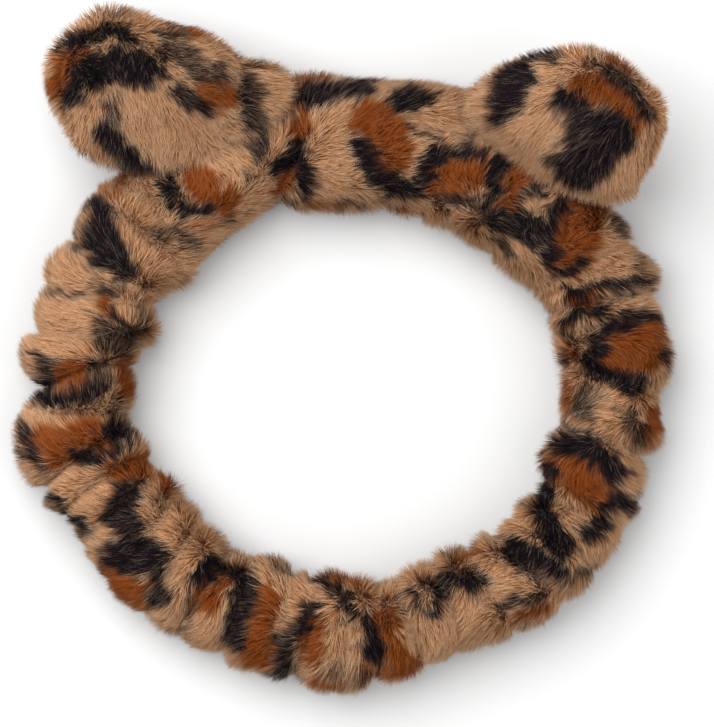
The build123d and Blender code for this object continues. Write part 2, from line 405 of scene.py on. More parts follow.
EAR_MARKS = {
    "left": (
        ("dark", 1.0, 6.5, ((-21, 53), (-11, 50.5), (-2, 46), (1, 41))),
        ("rust", 1.0, 8, ((-16, 45), (-25, 46), (-32, 38))),
        ("dark", 1.0, 8, ((-30, 33), (-24, 37), (-17, 38))),
        ("dark", 1.0, 14, ((-15, 36), (-8, 33), (-4, 29))),
        ("dark", 1.0, 8, ((-4, 28), (3, 23))),
        ("dark", 0.7, 8, ((-17, 21), (-22, 17))),
        ("dark", 1.0, 8.5, ((-25, 14), (-23, 5), (-21, -8))),
        ("rust", 0.4, 7, ((-33, 14), (-30, 6))),
        ("dark", 0.75, 8, ((10, 29), (17, 25), (18, 17), (24, 12))),
        ("dark", 0.8, 5, ((14, 35), (20, 32))),
        ("dark", 0.9, 6, ((8, 14), (9, 7), (13, 3))),
        ("rust", 0.9, 11, ((17, 8), (20, 3))),
        ("dark", 0.85, 9, ((30, 4), (29, -3), (25, -11))),
        ("dark", 0.6, 4, ((-5, 57), (8, 51))),
        ("rust", 0.8, 5, ((18, 40), (30, 27))),
        ("dark", 0.8, 3, ((38, 13), (42, 9))),
    ),
    "right": (
        ("dark", 1.0, 14, ((-30, 18), (-28, 10))),
        ("dark", 1.0, 8, ((-27, 6), (-25, -1))),
        ("dark", 1.0, 10, ((-10, 24), (2, 24), (13, 29))),
        ("dark", 1.0, 15, ((13, 25), (14, 14), (11, 3))),
        ("dark", 0.9, 11, ((3, 18), (4, 3))),
        ("rust", 1.0, 10, ((-7, 35), (0, 38.5), (8, 40), (16, 36.5))),
        ("dark", 0.85, 7, ((-5, 48), (3, 49), (10, 48), (18, 43))),
        ("dark", 0.9, 6, ((-33, 30), (-25, 38))),
        ("dark", 0.9, 5, ((-12, 50), (-2, 50))),
        ("rust", 0.9, 5, ((-6, 54), (1, 55))),
    ),
}


def print_amounts(plan, marks):
    """How much rust and how much dark dye lies at plan positions, from marks whose points are in plan too."""
    shift = wander(plan, 11, 21, 22) * 1.1
    shift += wander(plan, 4, 23, 24) * 0.8
    where = plan + shift
    amounts = {"rust": np.zeros(len(plan)), "dark": np.zeros(len(plan))}
    for dye, strength, width, points in marks:
        reach = width * PRINT_WIDEN / 2 + PRINT_SOFT
        for a, b in zip(points[:-1], points[1:]):
            low, high = np.minimum(a, b) - reach, np.maximum(a, b) + reach
            near = np.nonzero(((where > low) & (where < high)).all(1))[0]
            here, run = where[near] - a, b - a
            share = np.clip(here @ run / max(run @ run, 1e-6), 0, 1)
            distance = np.linalg.norm(here - share[:, None] * run, axis=1)
            amount = strength * smooth(reach - distance, 0, 2 * PRINT_SOFT)
            amounts[dye][near] = np.maximum(amounts[dye][near], amount)
    return amounts["rust"], amounts["dark"]


def seen_from_above(points):
    """Where points appear on the view plane, looked down on from the camera's height."""
    nearer = 1 - (points[:, 2] - VIEW_PLANE) / VIEW_DISTANCE
    return VIEW_MIDDLE + (points[:, :2] - VIEW_MIDDLE) / nearer[:, None]


def printed(root, tip, normal, marks):
    """The print at the tips of strands. It wanders more on steep faces, which the photo sees edge on."""
    steep = 1 - smooth(normal[:, 2], 0.1, 0.6)
    shift = np.column_stack([wander(root, 9, 25, 26), np.zeros(len(root))])
    return print_amounts(seen_from_above(tip + shift * (2.6 * steep)[:, None]), marks)


def rosettes(points, seed):
    """Leopard marks for faces that the photo doesn't show: broken dark rings round rust middles."""
    rng = np.random.default_rng(seed)
    low, high = points.min(0) - 20, points.max(0) + 20
    cells = np.stack(np.meshgrid(*[np.arange(a, b, 21.0) for a, b in zip(low, high)], indexing="ij"), -1)
    cells = cells.reshape(-1, 3) + rng.uniform(-7, 7, (cells.size // 3, 3))
    tree = finder(cells)
    warped = points + wander(points, 16, seed, seed + 1, seed + 2) * 3
    distance = np.array([tree.find(p)[2] for p in warped])
    broken = smooth(waves(points, 13, seed + 5), -0.5, 0.3)
    rust = 0.9 * smooth(7.5 - distance, 0, 2.5)
    dark = smooth(3.2 - np.abs(distance - 8.2), 0, 1.8) * broken
    return rust, dark


def dyed(root, tip, normal, marks, top, seed, squeeze=1):
    """The print on faces that look up, easing over top (low, high) into made-up rosettes on the others."""
    seen = smooth(normal[:, 2], *top)
    rust, dark = printed(root, tip, normal, marks)
    under_rust, under_dark = rosettes(root * np.array([1, 1, squeeze]), seed)
    return seen * rust + (1 - seen) * under_rust, seen * dark + (1 - seen) * under_dark


def in_plan(marks, place):
    """Marks with their points turned into plan positions.

    On the band, long runs are divided so that they follow its curve.
    """
    on_band = place is band_point
    turned = []
    for dye, strength, width, points in marks:
        points = [np.asarray(point, float) for point in points]
        placed = []
        for a, b in zip(points[:-1], points[1:]):
            steps = 1
            if on_band:
                b = b + np.array([360.0, 0]) * np.round((a[0] - b[0]) / 360)
                steps = max(1, int(np.ceil(abs(b[0] - a[0]) / BAND_STEP)))
            placed += [place(*(a + (b - a) * share)) for share in np.arange(steps) / steps]
        placed.append(place(*b))
        turned.append((dye, strength, width, placed))
    return turned


# ---------------------------------------------------------------- meshes


class Skin:
    """A backing mesh in millimetres: its corners, its four- or three-sided faces, and its normals."""

    def __init__(self, points, faces, uv=None):
        self.points, self.faces, self.uv = np.asarray(points, float), faces, uv
        triangles = []
        for face in faces:
            triangles.append(face[:3])
            if len(face) == 4:
                triangles.append((face[0], face[2], face[3]))
        self.triangles = np.array(triangles)
        self.update()

    def update(self):
        a, b, c = (self.points[self.triangles[:, k]] for k in range(3))
        self.cross = np.cross(b - a, c - a)
        normals = np.zeros_like(self.points)
        for k in range(3):
            np.add.at(normals, self.triangles[:, k], self.cross)
        self.normals = unit(normals)

    def part(self, keep):
        """The faces that keep is true for, as a skin of their own with the same normals."""
        faces = [face for face, wanted in zip(self.faces, keep) if wanted]
        used = sorted({corner for face in faces for corner in face})
        new = {old: number for number, old in enumerate(used)}
        uv = None if self.uv is None else self.uv[used]
        piece = Skin(self.points[used], [tuple(new[corner] for corner in face) for face in faces], uv)
        piece.normals = self.normals[used]
        return piece


def link(obj):
    bpy.context.scene.collection.objects.link(obj)
    return obj


def new_object(name, points, faces, *materials):
    """A mesh object from points in millimetres."""
    mesh = bpy.data.meshes.new(name)
    mesh.from_pydata((points * MM).tolist(), [], [list(face) for face in faces])
    mesh.update()
    for material in materials:
        mesh.materials.append(material)
    return link(bpy.data.objects.new(name, mesh))


def skin_object(name, skin, material):
    obj = new_object(name, skin.points, skin.faces, material)
    obj.data.shade_smooth()
    if skin.uv is not None:
        layer = obj.data.uv_layers.new(name="OFBake")
        corners = np.empty(len(obj.data.loops), int)
        obj.data.loops.foreach_get("vertex_index", corners)
        layer.data.foreach_set("uv", skin.uv[corners].ravel())
    return obj


CLOTH = {
    "quality": 6,
    "mass": 0.12,
    "tension_stiffness": 8,
    "compression_stiffness": 6,
    "shear_stiffness": 3,
    "bending_stiffness": 0.25,
    "use_pressure": True,
}
CLOTH_FRAMES = 20


def inflate(skin, held, pressure, cap, rest):
    """Blows a skin up as cloth, and moves no point further than cap.

    held says from 0 to 1 how firmly each point is held, and rest is the shape that the cloth is cut to,
    which is slacker than the skin.
    """
    if QUICK:
        return
    obj = new_object("cloth", skin.points, skin.faces)
    mesh = obj.data
    pins = obj.vertex_groups.new(name="held")
    for number, weight in enumerate(held):
        if weight > 0.01:
            pins.add([number], float(weight), "REPLACE")
    obj.shape_key_add(name="Basis")
    key = obj.shape_key_add(name="cut")
    key.data.foreach_set("co", (rest * MM).ravel())
    key.value = 0
    cloth = obj.modifiers.new("cloth", "CLOTH")
    for setting, value in CLOTH.items():
        setattr(cloth.settings, setting, value)
    cloth.settings.vertex_group_mass = "held"
    cloth.settings.uniform_pressure_force = pressure
    cloth.settings.effector_weights.gravity = 0
    cloth.settings.rest_shape_key = mesh.shape_keys.key_blocks["cut"]
    cloth.point_cache.frame_start, cloth.point_cache.frame_end = 1, CLOTH_FRAMES
    scene = bpy.context.scene
    for number in range(1, CLOTH_FRAMES + 1):
        scene.frame_set(number)
    blown = obj.evaluated_get(bpy.context.evaluated_depsgraph_get()).to_mesh()
    moved = np.empty(len(blown.vertices) * 3)
    blown.vertices.foreach_get("co", moved)
    moved = moved.reshape(-1, 3) / MM - skin.points
    moved[~np.isfinite(moved)] = 0
    far = np.linalg.norm(moved, axis=1, keepdims=True)
    moved *= np.minimum(1, cap * np.tanh(far / cap) / np.maximum(far, 1e-9))
    bpy.data.objects.remove(obj)
    bpy.data.meshes.remove(mesh)
    scene.frame_set(1)
    skin.points = skin.points + moved
    skin.update()


# ---------------------------------------------------------------- materials


def shade(red, green, blue):
    """A colour given as the eye reads it, 0 to 255, in the shader's own linear light."""
    channels = np.array([red, green, blue]) / 255
    return (*np.where(channels <= 0.04045, channels / 12.92, ((channels + 0.055) / 1.055) ** 2.4), 1)


class Nodes:
    """A short way to write a material's node tree."""

    def __init__(self, name):
        self.material = bpy.data.materials.new(name)
        self.material.use_nodes = True
        self.tree = self.material.node_tree
        self.shader = self.tree.nodes["Principled BSDF"]

    def add(self, kind, **settings):
        node = self.tree.nodes.new(kind)
        for key, value in settings.items():
            setattr(node, key, value)
        return node

    def join(self, start, end):
        self.tree.links.new(start, end)

    def fill(self, socket, value):
        if isinstance(value, bpy.types.NodeSocket):
            self.join(value, socket)
        else:
            socket.default_value = value

    def colour(self, value):
        self.join(value, self.shader.inputs["Base Color"])

    def math(self, operation, *values):
        node = self.add("ShaderNodeMath", operation=operation)
        for socket, value in zip(node.inputs, values):
            self.fill(socket, value)
        return node.outputs[0]

    def mix(self, factor, a, b, blend="MIX"):
        node = self.add("ShaderNodeMix", data_type="RGBA", blend_type=blend)
        self.fill(node.inputs[0], factor)
        self.fill(node.inputs[6], a)
        self.fill(node.inputs[7], b)
        return node.outputs[2]

    def ramp(self, factor, *stops):
        node = self.add("ShaderNodeValToRGB")
        elements = node.color_ramp.elements
        while len(elements) < len(stops):
            elements.new(0.5)
        for element, (position, colour) in zip(elements, stops):
            element.position, element.color = position, colour
        self.fill(node.inputs[0], factor)
        return node.outputs[0]

    def position(self):
        return self.add("ShaderNodeTexCoord").outputs["Object"]

    def noise(self, scale, detail):
        node = self.add("ShaderNodeTexNoise")
        node.inputs["Scale"].default_value = scale
        node.inputs["Detail"].default_value = detail
        self.join(self.position(), node.inputs["Vector"])
        return node.outputs[0]

    def bands(self, scale, direction, distortion=0):
        node = self.add("ShaderNodeTexWave", wave_type="BANDS", bands_direction=direction)
        node.inputs["Scale"].default_value = scale
        node.inputs["Distortion"].default_value = distortion
        self.join(self.position(), node.inputs["Vector"])
        return node

    def bump(self, height, distance):
        node = self.add("ShaderNodeBump")
        node.inputs["Strength"].default_value = 0.6
        node.inputs["Distance"].default_value = distance
        self.join(height, node.inputs["Height"])
        self.join(node.outputs[0], self.shader.inputs["Normal"])

    def attribute(self, name):
        return self.add("ShaderNodeAttribute", attribute_name=name, attribute_type="GEOMETRY")

    def plain(self, **values):
        """Numbers and colours that are the same all over, on the shader's own sockets."""
        for key, value in values.items():
            self.shader.inputs[key.replace("_", " ")].default_value = value


# Each dye at a strand's root, middle and tip. The darker root is painted shade deep in the pile; the lighter tip is
# partly the fibre's own colour and partly a painted highlight.
TAN = (shade(90, 50, 27), shade(185, 125, 80), shade(240, 197, 156))
RUST = (shade(58, 23, 4), shade(135, 62, 15), shade(165, 90, 36))
DARK = (shade(6, 4, 6), shade(15, 10, 15), shade(44, 33, 40))
PALE = (shade(112, 86, 66), shade(186, 158, 128), shade(232, 210, 184))


def fur_colour(nodes, pile):
    """Tan, rust and dark dye mixed by the strand's own amounts, lighter from root to tip: the darker root is painted
    shade deep in the pile, and the lighter tip is partly the fibre's own colour and partly a painted highlight.
    """
    dye = nodes.attribute("dye")
    parts = nodes.add("ShaderNodeSeparateColor")
    nodes.join(dye.outputs["Color"], parts.inputs[0])
    ramps = []
    for root, middle, tip in (TAN, RUST, DARK, PALE):
        # the ramp paints shade at the root and, in part, a highlight at the tip
        ramps.append(nodes.ramp(pile, (0.0, root), (0.55, middle), (1.0, tip)))
    tan, *others = ramps
    colour = tan
    for amount, other in zip(parts.outputs, others):
        colour = nodes.mix(amount, colour, other)
    light = nodes.math("MULTIPLY_ADD", dye.outputs["Alpha"], 0.22, 0.89)
    tint = nodes.add("ShaderNodeCombineColor")
    for socket in tint.inputs:
        nodes.join(light, socket)
    return nodes.mix(1.0, colour, tint.outputs[0], "MULTIPLY")


def fur_material():
    nodes = Nodes("leopard_fur_pile")
    nodes.colour(fur_colour(nodes, nodes.attribute("pile").outputs["Fac"]))
    nodes.plain(Roughness=0.75, Specular_IOR_Level=0.07)
    return nodes.material


def backing_material():
    nodes = Nodes("leopard_fur_backing")
    knit = nodes.bands(420, "DIAGONAL", 3)
    # the backing takes the pile's colours from root to halfway, darker: painted shade deep under the pile, over the
    # knit's own pattern
    colour = fur_colour(nodes, nodes.math("MULTIPLY", nodes.noise(900, 4), 0.5))
    nodes.colour(nodes.mix(0.45, colour, knit.outputs["Color"], "MULTIPLY"))
    nodes.bump(knit.outputs["Fac"], 0.0004)
    nodes.plain(Roughness=0.85, Sheen_Weight=0.3)
    return nodes.material


def thread_material():
    nodes = Nodes("sewing_thread")
    ply = nodes.bands(700, "DIAGONAL").outputs["Fac"]
    base = nodes.ramp(ply, (0.1, shade(84, 55, 36)), (0.9, shade(150, 108, 76)))
    nodes.colour(nodes.mix(nodes.noise(2600, 3), base, shade(120, 84, 58)))
    nodes.bump(ply, 0.0002)
    nodes.plain(Roughness=0.7)
    return nodes.material


def wadding_material():
    nodes = Nodes("white_wadding")
    fibres = nodes.noise(1400, 6)
    base = nodes.ramp(nodes.noise(160, 5), (0.3, shade(214, 210, 202)), (0.7, shade(246, 244, 240)))
    nodes.colour(nodes.mix(nodes.math("MULTIPLY", fibres, 0.5), base, shade(232, 229, 222)))
    nodes.bump(fibres, 0.0008)
    nodes.plain(Roughness=0.95, Sheen_Weight=0.4)
    return nodes.material


def elastic_material():
    nodes = Nodes("woven_elastic")
    warp = nodes.bands(320, "Z").outputs["Fac"]
    base = nodes.ramp(warp, (0.15, shade(186, 182, 174)), (0.8, shade(238, 236, 230)))
    weft = nodes.math("MULTIPLY", nodes.noise(1200, 2), 0.4)
    nodes.colour(nodes.mix(weft, base, shade(210, 206, 198)))
    nodes.bump(warp, 0.0005)
    nodes.plain(Roughness=0.8)
    return nodes.material


FUR = fur_material()
BACKING = backing_material()
THREAD = thread_material()
WADDING = wadding_material()
ELASTIC = elastic_material()


# ---------------------------------------------------------------- pile

STRAND_CORNERS = (0, 1, 3, 2, 2, 3, 4)  # a four-sided foot, then a three-sided tip
STRAND_HEIGHTS = (0, 0, 0.55, 0.55, 1)
STRAND_UV = ((0.12, 0.05), (0.88, 0.05), (0.88, 0.55), (0.12, 0.55), (0.12, 0.55), (0.88, 0.55), (0.5, 0.98))


def fur_object(name, points, dye, facing):
    """One mesh of strands, each with five points, a spot of its own in the UV map, and lit as facing says."""
    count = len(points)
    mesh = bpy.data.meshes.new(name)
    mesh.vertices.add(count * 5)
    mesh.vertices.foreach_set("co", (points.reshape(-1, 3) * MM).astype(np.float32).ravel())
    corners = (np.arange(count)[:, None] * 5 + np.array(STRAND_CORNERS)).ravel()
    mesh.loops.add(count * 7)
    mesh.loops.foreach_set("vertex_index", corners.astype(np.int32))
    mesh.polygons.add(count * 2)
    starts = (np.arange(count)[:, None] * 7 + np.array([0, 4])).ravel()
    mesh.polygons.foreach_set("loop_start", starts.astype(np.int32))
    mesh.polygons.foreach_set("use_smooth", np.ones(count * 2, bool))
    mesh.update(calc_edges=True)
    colour = mesh.attributes.new("dye", "FLOAT_COLOR", "POINT")
    colour.data.foreach_set("color", np.repeat(dye, 5, axis=0).astype(np.float32).ravel())
    height = mesh.attributes.new("pile", "FLOAT", "POINT")
    height.data.foreach_set("value", np.tile(np.array(STRAND_HEIGHTS, np.float32), count))
    columns = int(np.ceil(np.sqrt(count * 1.3)))
    rows = int(np.ceil(count / columns))
    order = np.arange(count)
    cell = np.stack([order % columns, order // columns], -1)[:, None, :]
    layer = mesh.uv_layers.new(name="OFBake")
    layer.data.foreach_set("uv", ((cell + np.array(STRAND_UV)) / (columns, rows)).astype(np.float32).ravel())
    mesh.normals_split_custom_set_from_vertices(facing.reshape(-1, 3).tolist())
    mesh.materials.append(FUR)
    return link(bpy.data.objects.new(name, mesh))


def grow(skin, density, comb, colour, seed):
    """Strands of pile on a skin: their points (count, 5, 3), dye amounts, roots, and how they face.

    density(normals) is strands per square millimetre, comb(roots, normals) gives a lean to add to each normal
    and a share of the pile's length, and colour(roots, tips, normals) gives the rust and the dark dye.
    """
    rng = np.random.default_rng(seed)
    area = np.linalg.norm(skin.cross, axis=1) / 2
    weight = area * density(unit(skin.cross)) * (QUICK_SHARE if QUICK else 1)
    count = int(weight.sum())
    pick = rng.choice(len(skin.triangles), count, p=weight / weight.sum())
    a, b = np.sqrt(rng.random(count)), rng.random(count)
    shares = np.stack([1 - a, a * (1 - b), a * b], -1)[:, :, None]
    chosen = skin.triangles[pick]
    root = (skin.points[chosen] * shares).sum(1)
    normal = unit((skin.normals[chosen] * shares).sum(1))

    # short undercoat, ordinary strands, and a few long guard hairs, each bent at a knee halfway
    lean, share = comb(root, normal)
    kind = rng.random(count)
    reach = np.where(kind < 0.3, 0.7, np.where(kind > 0.95, 1.14, 1.0))
    length = PILE * share * reach * rng.uniform(0.85, 1.1, count)
    way = unit(normal + lean + rng.normal(size=(count, 3)) * 0.12)
    bent = unit(way + lean * 0.6 + rng.normal(size=(count, 3)) * 0.14 + np.array([0, 0, -0.2]))
    knee = root + way * (length * 0.52)[:, None]
    tip = knee + bent * (length * 0.48)[:, None]

    # soft tufts: strands lean together towards a few that lead
    leaders = max(1, count // (10 if QUICK else 28))
    tree = finder(root[:leaders])
    lead = np.array([tree.find(point)[1] for point in root])
    pull = rng.uniform(0.0, 0.28, leaders)[lead] * (kind < 0.95)
    tip += (tip[lead] - tip) * (pull * 0.6)[:, None]
    knee += (knee[lead] - knee) * (pull * 0.22)[:, None]

    # each ribbon's face looks out of the pile
    side = unit(np.cross(way, rng.normal(size=(count, 3))))
    upward = normal + np.array([0, 0, 0.6])
    side *= np.where((np.cross(side, way) * upward).sum(1) < 0, -1, 1)[:, None]
    side *= STRAND_WIDTH / 2 * rng.uniform(0.75, 1.2, count)[:, None]
    if QUICK:
        side *= 1.6
    points = np.stack([root - side, root + side, knee - side * 0.75, knee + side * 0.75, tip], 1)
    points[..., 2] = np.maximum(points[..., 2], 0.1 + 0.4 * rng.random((count, 1)))

    # the pile takes light as the soft surface does, and a little as each strand lies
    low, high = unit(normal + way * 0.25), unit(normal + bent * 0.5)
    facing = np.stack([low, low, low, low, high], 1)

    # a mark's soft edge is made of strands that took the dye and strands that didn't, some of them frosted
    rust, dark = colour(root, tip, normal)
    haze = np.clip(4 * dark * (1 - dark), 0, 1)
    rust = smooth(rust + (rng.random(count) - 0.5) * 0.45, 0.2, 0.8)
    dark = smooth(dark + (rng.random(count) - 0.5) * 0.5, 0.18, 0.82)
    # pale strands are partly the fur's own frosted hairs and partly a painted sheen on the pile
    pale = np.where(rng.random(count) < 0.1 + 0.3 * haze, rng.uniform(0.3, 0.85, count), 0)
    pale *= (1 - 0.6 * dark) * (1 - 0.7 * rust)
    dye = np.stack([rust, dark, pale, rng.random(count)], -1)
    return points, dye, root, facing


# ---------------------------------------------------------------- band

# Where the gathers pinch the sleeve: (bearing at the outer edge, bearing at the head side, depth)
GATHERS = (
    (-51, -50, 3.0), (-61, -63, 3.5), (-70.5, -68, 4.5), (-80, -77, 3.5), (-90.5, -84, 5.0),
    (-96, -98, 3.5), (-110, -104, 5.0), (-116, -112, 3.0), (-124, -119, 3.5), (-134, -130, 3.5),
    (-142, -138, 3.0), (-148, -146, 4.0), (-157, -155, 3.5), (-165, -168, 3.0), (-171, -174, 4.5),
    (-179, -181, 3.5), (59, 58, 3.0), (62.5, 61, 3.5), (71, 66, 4.5), (77.5, 74, 3.5), (90, 84, 4.0),
    (96, 95, 3.0), (103, 101, 4.5), (114, 117, 3.0), (120, 122, 4.0), (128, 131, 3.0), (137, 138, 3.5),
    (146, 148, 3.5), (157, 156, 3.0), (166, 167, 3.5), (174, 173, 3.5),
)

# Folds in the padded front: (depth, width, points as bearing and offset)
FOLDS = (
    (5.0, 2.6, ((-9, 24), (-10.5, 8), (-10.5, -2), (-14.5, -9), (-19, -17))),
    (4.0, 2.6, ((-38.5, 8), (-40.5, 2), (-40, -4))),
    (3.0, 3.0, ((-47, 21), (-45, 10), (-45, -2))),
    (3.5, 2.4, ((12, 8), (18, 5), (24, 7), (28, 10))),
    (4.0, 2.6, ((31, 13), (33, 3), (34.5, -6))),
    (3.0, 2.4, ((40.5, 12), (42.5, 2), (43.5, -8))),
    (3.0, 2.6, ((46, 13), (50, 2), (54, -6))),
    (2.0, 3.0, ((18, 2), (18.5, -10), (24, -14))),
    (2.0, 3.5, ((3, 2), (7, -9), (12, -14))),
)

# Where the pile ends on each side, seen from above: (bearing, offset from the centreline), read one by one
OUTER_EDGE = (
    (-178, 23.5), (-175, 22.5), (-172, 18.5), (-168, 21.5), (-164, 21), (-160, 21), (-156, 19),
    (-150, 21.5), (-146, 21.5), (-142, 22), (-137, 22), (-133, 23), (-129, 21.5), (-125, 22.5),
    (-120, 20), (-117, 22), (-113, 25.5), (-110.5, 24), (-107, 28.5), (-103, 29.5), (-99, 29.5),
    (-96, 28), (-93, 20.5), (-90, 17.5), (-86, 25), (-83, 27.5), (-80, 21.5), (-75, 24.5), (-70, 25),
    (-65, 26.5), (-61, 21.5), (-56, 24), (-51, 26), (-45, 25), (-38, 26), (-20, 27), (-10, 27.5),
    (-5, 25.5), (0, 24.5), (8, 24.5), (15, 26.5), (22, 28), (40, 26), (49, 25), (53, 24), (57, 26.5),
    (60, 23.5), (63, 26.5), (67, 27.5), (70, 26), (73.5, 24.5), (77, 25.5), (80, 24.5), (84, 25.5),
    (87, 24), (90, 21), (93.5, 20.5), (97, 22.5), (100, 22.5), (103.5, 17.5), (108, 19.5), (112, 20.5),
    (115, 22), (118, 20), (121, 22.5), (125, 21), (130, 22.5), (136, 22.5), (141, 21.5), (145, 20),
    (149, 19.5), (153, 17), (160, 17), (166, 17.5), (170, 19.5), (172.5, 21), (175, 18.5), (178, 22.5),
)
INNER_EDGE = (
    (-177, -24), (-174, -25), (-171, -22), (-168, -23), (-165, -22), (-160, -25), (-155, -24),
    (-150, -20), (-145, -21.5), (-140, -22.5), (-134, -22.5), (-130, -23.5), (-127, -22), (-123, -24.5),
    (-120, -23.5), (-117, -20.5), (-113, -19), (-110, -20.5), (-105, -19), (-100, -17), (-95, -18.5),
    (-85, -19), (-80, -19.5), (-76, -21), (-72, -25), (-69, -23), (-65, -19.5), (-60, -20.5),
    (-55, -22), (-50, -27), (-47, -25), (-42, -24), (-35, -22.5), (-30, -23), (-25, -22), (-19, -20.5),
    (-16, -22), (-12, -25.5), (0, -27), (5, -26.5), (10, -24.5), (15, -26), (20, -24.5), (25, -25.5),
    (30, -23.5), (36, -25), (42, -22.5), (48, -23), (55, -20), (60, -21), (65, -19), (70, -20),
    (75, -19.5), (82, -20), (86, -18.5), (91, -18.5), (95, -20), (99, -18.5), (103.5, -14.5),
    (107, -20.5), (112, -22), (115, -19.5), (118, -16.5), (124, -17.5), (130, -20), (136, -20),
    (140, -19), (143, -21), (147, -19), (150, -22), (153, -24.5), (157, -21), (163, -23), (166, -21),
    (170, -19), (174, -21), (177, -22.5),
)


def edge_at(bearing, edge):
    """The offset of an edge at bearings, eased between its points."""
    known, offsets = np.array(edge).T
    return np.interp(bearing, known, offsets, period=360)


def distance_to(plan, points):
    """Distance in plan to a line through points."""
    nearest = np.full(len(plan), 1e9)
    for a, b in zip(points[:-1], points[1:]):
        here, run = plan - a, b - a
        share = np.clip(here @ run / (run @ run), 0, 1)
        nearest = np.minimum(nearest, np.linalg.norm(here - share[:, None] * run, axis=1))
    return nearest


def tube_faces(rings, around, closed=True):
    """The four-sided faces of a tube of rings, whose ends meet if it is closed."""
    faces = []
    for i in range(rings if closed else rings - 1):
        for k in range(around):
            a, b = i * around + k, i * around + (k + 1) % around
            c, d = (i + 1) % rings * around + (k + 1) % around, (i + 1) % rings * around + k
            faces.append((a, d, c, b))
    return faces


def squared(value):
    """A sine or cosine, made a little fuller, so that a section is between a circle and a square."""
    return np.sign(value) * np.abs(value) ** 0.86


ring_bearings = -180 + 360 * np.arange(RINGS) / RINGS
bearings = np.repeat(ring_bearings, AROUND)
angles = np.tile(2 * np.pi * np.arange(AROUND) / AROUND, RINGS)
past_left = smooth(bearings, LEFT_JOIN - 2, LEFT_JOIN + 4)
padded = past_left * (1 - smooth(bearings, RIGHT_JOIN - 4, RIGHT_JOIN + 2))
outer_skin = edge_at(bearings, OUTER_EDGE) - PILE_REACH - SWELL
inner_skin = edge_at(bearings, INNER_EDGE) + PILE_REACH + SWELL
half_width, middle_offset = (outer_skin - inner_skin) / 2, (outer_skin + inner_skin) / 2
half_height = SLEEVE_HALF_HEIGHT + (FRONT_HALF_HEIGHT - SLEEVE_HALF_HEIGHT) * padded
across, up = np.sin(angles), np.cos(angles)
ring_xy = band_point(bearings, 0)
lumps = waves(np.column_stack([ring_xy, across * 12]), 46, 3)

# pinch is how deep the gathers and folds press in, and pinned is where their thread holds the cloth
pinch = np.zeros(len(bearings))
pinned = np.zeros(len(bearings))
lobe_rng = np.random.default_rng(5)
for outer, inner, depth in GATHERS:
    under = lobe_rng.uniform(-2.5, 2.5)
    centre = (outer + inner) / 2 + (outer - inner) / 2 * across + under * (1 - up) / 2
    gap = np.abs((bearings - centre + 180) % 360 - 180) * 1.6 * (1 + across * half_width / 90)
    pinch = np.maximum(pinch, 1.85 * depth * (0.85 + 0.3 * lumps) * np.exp(-((gap / 2.5) ** 1.15)))
    pinned = np.maximum(pinned, np.exp(-((gap / 2.2) ** 2)))
pinch *= 1 - 0.75 * padded
for depth, width, points in FOLDS:
    gap = distance_to(band_point(bearings, across * half_width), [band_point(*point) for point in points])
    gap = np.where(up > -0.1, gap, 1e9)
    pinch = np.maximum(pinch, 1.6 * depth * np.exp(-((gap / width) ** 1.3)))
    pinned = np.maximum(pinned, np.exp(-((gap / 2.2) ** 2)))

# a pinch takes less from the edges, where the reach already shows it, than from the top
swell = 1 + 0.04 * lumps - np.minimum(pinch / 13, 0.72)
side_swell = 1 - 0.18 * np.minimum(pinch / 13, 0.72)
offset = middle_offset + squared(across) * half_width * side_swell
sunk = (MIDDLE_LIFT - FLOOR_GAP) * (up < 0)
height = squared(up) * (half_height + sunk) * swell
band_xy = band_point(bearings, offset)
band_z = np.maximum(MIDDLE_LIFT + half_height + height, FLOOR_GAP)
uv = np.column_stack([(bearings + 180) / 360, angles / (2 * np.pi)])
band = Skin(np.column_stack([band_xy, band_z]), tube_faces(RINGS, AROUND), uv)

# the sleeve's cloth is cut longer than the loop, and the front's hardly longer
slack = band.points.copy()
slack[:, :2] = ring_xy * 1.22 + (band_xy - ring_xy) * 1.03
slack[padded > 0.5, :2] = (ring_xy * 1.06 + (band_xy - ring_xy) * 1.04)[padded > 0.5]
pinned = np.maximum(pinned, smooth(-up, 0.75, 0.95))
inflate(band, pinned, 1.6, 3.0, slack)
band.points[:, 2] = np.maximum(band.points[:, 2], FLOOR_GAP)
band.update()


# ---------------------------------------------------------------- ears

EAR_EDGE, EAR_RINGS = 104, 15
EAR_HALF_THICKNESS = 8.5


class Ear:
    """An ear's own axes: x runs along its base, y from the hinge to its tip, and z out of its front face.

    bearing is where it stands on the band, tilt is how far it is raised, and roll is how far its back panel
    comes over its far rim, all in degrees. outline and centre are in (x, y).
    """

    def __init__(self, side, bearing, tilt, roll, outline, centre):
        self.side, self.roll = side, roll
        self.outline, self.centre = np.asarray(outline, float), np.asarray(centre, float)
        self.origin = np.asarray(joints[f"{side}_ear_flop"]["pos_m"], float) / MM
        turned, tipped = np.radians(bearing), np.radians(tilt)
        out = np.array([np.sin(turned), np.cos(turned), 0])
        self.x = np.array([np.cos(turned), -np.sin(turned), 0])
        self.y = out * np.cos(tipped) + np.array([0, 0, np.sin(tipped)])
        self.z = np.array([0, 0, np.cos(tipped)]) - out * np.sin(tipped)
        self.out, self.tipped = out, tipped

    def place(self, local):
        return self.origin + local @ np.stack([self.x, self.y, self.z])

    def local(self, points):
        return (points - self.origin) @ np.stack([self.x, self.y, self.z]).T

    def seen(self, along, outward):
        """The plan position that looks, from above, like this place on the ear's plane."""
        return (self.origin + along * self.x + outward * np.cos(self.tipped) * self.out)[:2]


